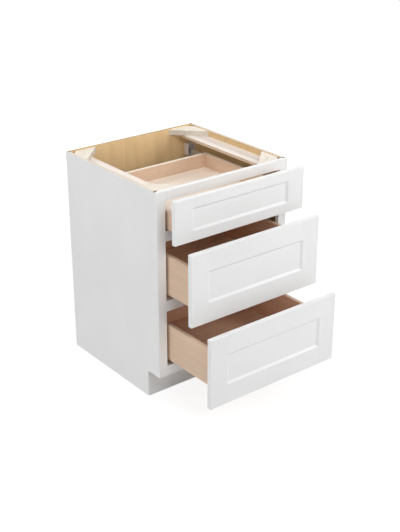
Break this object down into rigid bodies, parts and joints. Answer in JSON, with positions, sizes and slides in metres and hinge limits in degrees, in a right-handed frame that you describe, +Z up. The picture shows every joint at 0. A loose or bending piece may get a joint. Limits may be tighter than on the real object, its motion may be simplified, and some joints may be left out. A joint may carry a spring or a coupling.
{
  "type": "base cabinet with drawers",
  "caption": "Framed kitchen base cabinet without a worktop, holding deep drawers with recessed-panel fronts on concealed full-extension slides.",
  "frame": {"origin": "floor level, on the centreline, under the middle of the back panel's thickness", "axes": "+X to the right as seen from the front, +Y towards the wall behind, +Z up; drawers open along -Y"},
  "size_m": [0.635, 0.9153, 0.8763],
  "materials": {
    "white_paint": "satin white paint over wood",
    "panel_ply": "maple plywood, white outside, clear inside",
    "brace_wood": "pale softwood, sanded",
    "box_wood": "birch, clear satin",
    "box_ply": "pale plywood, clear satin",
    "zinc_steel": "zinc plated",
    "nylon": "natural nylon",
    "grey_plastic": "moulded grey",
    "bracket_plastic": "moulded light grey"
  },
  "bodies": {
    "cabinet": {"back_panel": "panel_ply", "cabinet_floor": "panel_ply", "toe_board": "white_paint", "top_rail": "white_paint", "upper_rail": "white_paint", "lower_rail": "white_paint", "bottom_rail": "white_paint", "left_side_panel": "panel_ply", "right_side_panel": "panel_ply", "left_stile": "white_paint", "right_stile": "white_paint", "left_stretcher": "brace_wood", "right_stretcher": "brace_wood", "left_front_block": "brace_wood", "right_front_block": "brace_wood", "left_back_block": "brace_wood", "right_back_block": "brace_wood", "upper_runners": "zinc_steel", "middle_runners": "zinc_steel", "lower_runners": "zinc_steel", "rear_brackets": "bracket_plastic"},
    "upper_drawer": {"upper_front_stiles": "white_paint", "upper_front_top_rail": "white_paint", "upper_front_bottom_rail": "white_paint", "upper_front_panel": "white_paint", "upper_box_left": "box_wood", "upper_box_right": "box_wood", "upper_box_front": "box_wood", "upper_box_back": "box_wood", "upper_box_floor": "box_ply", "upper_sliders": "zinc_steel", "upper_clips": "grey_plastic"},
    "upper_telescope": {"upper_telescopes": "zinc_steel", "upper_glides": "nylon"},
    "middle_drawer": {"middle_front_stiles": "white_paint", "middle_front_top_rail": "white_paint", "middle_front_bottom_rail": "white_paint", "middle_front_panel": "white_paint", "middle_box_left": "box_wood", "middle_box_right": "box_wood", "middle_box_front": "box_wood", "middle_box_back": "box_wood", "middle_box_floor": "box_ply", "middle_sliders": "zinc_steel", "middle_clips": "grey_plastic"},
    "middle_telescope": {"middle_telescopes": "zinc_steel", "middle_glides": "nylon"},
    "lower_drawer": {"lower_front_stiles": "white_paint", "lower_front_top_rail": "white_paint", "lower_front_bottom_rail": "white_paint", "lower_front_panel": "white_paint", "lower_box_left": "box_wood", "lower_box_right": "box_wood", "lower_box_front": "box_wood", "lower_box_back": "box_wood", "lower_box_floor": "box_ply", "lower_sliders": "zinc_steel", "lower_clips": "grey_plastic"},
    "lower_telescope": {"lower_telescopes": "zinc_steel", "lower_glides": "nylon"}
  },
  "joints": [
    {"name": "upper_drawer_slide", "type": "slide", "parent": "cabinet", "child": "upper_drawer", "axis": [0, -1, 0], "range_m": [-0.08075, 0.45115]},
    {"name": "middle_drawer_slide", "type": "slide", "parent": "cabinet", "child": "middle_drawer", "axis": [0, -1, 0], "range_m": [-0.17445, 0.35745]},
    {"name": "lower_drawer_slide", "type": "slide", "parent": "cabinet", "child": "lower_drawer", "axis": [0, -1, 0], "range_m": [-0.28525, 0.24665]},
    {"name": "upper_telescope_slide", "type": "slide", "parent": "cabinet", "child": "upper_telescope", "axis": [0, -1, 0], "range_m": [-0.04038, 0.22558]},
    {"name": "middle_telescope_slide", "type": "slide", "parent": "cabinet", "child": "middle_telescope", "axis": [0, -1, 0], "range_m": [-0.08723, 0.17873]},
    {"name": "lower_telescope_slide", "type": "slide", "parent": "cabinet", "child": "lower_telescope", "axis": [0, -1, 0], "range_m": [-0.14263, 0.12333]}
  ],
  "couplings": [
    {"joint": "upper_telescope_slide", "follows": "upper_drawer_slide", "ratio": 0.5},
    {"joint": "middle_telescope_slide", "follows": "middle_drawer_slide", "ratio": 0.5},
    {"joint": "lower_telescope_slide", "follows": "lower_drawer_slide", "ratio": 0.5}
  ]
}
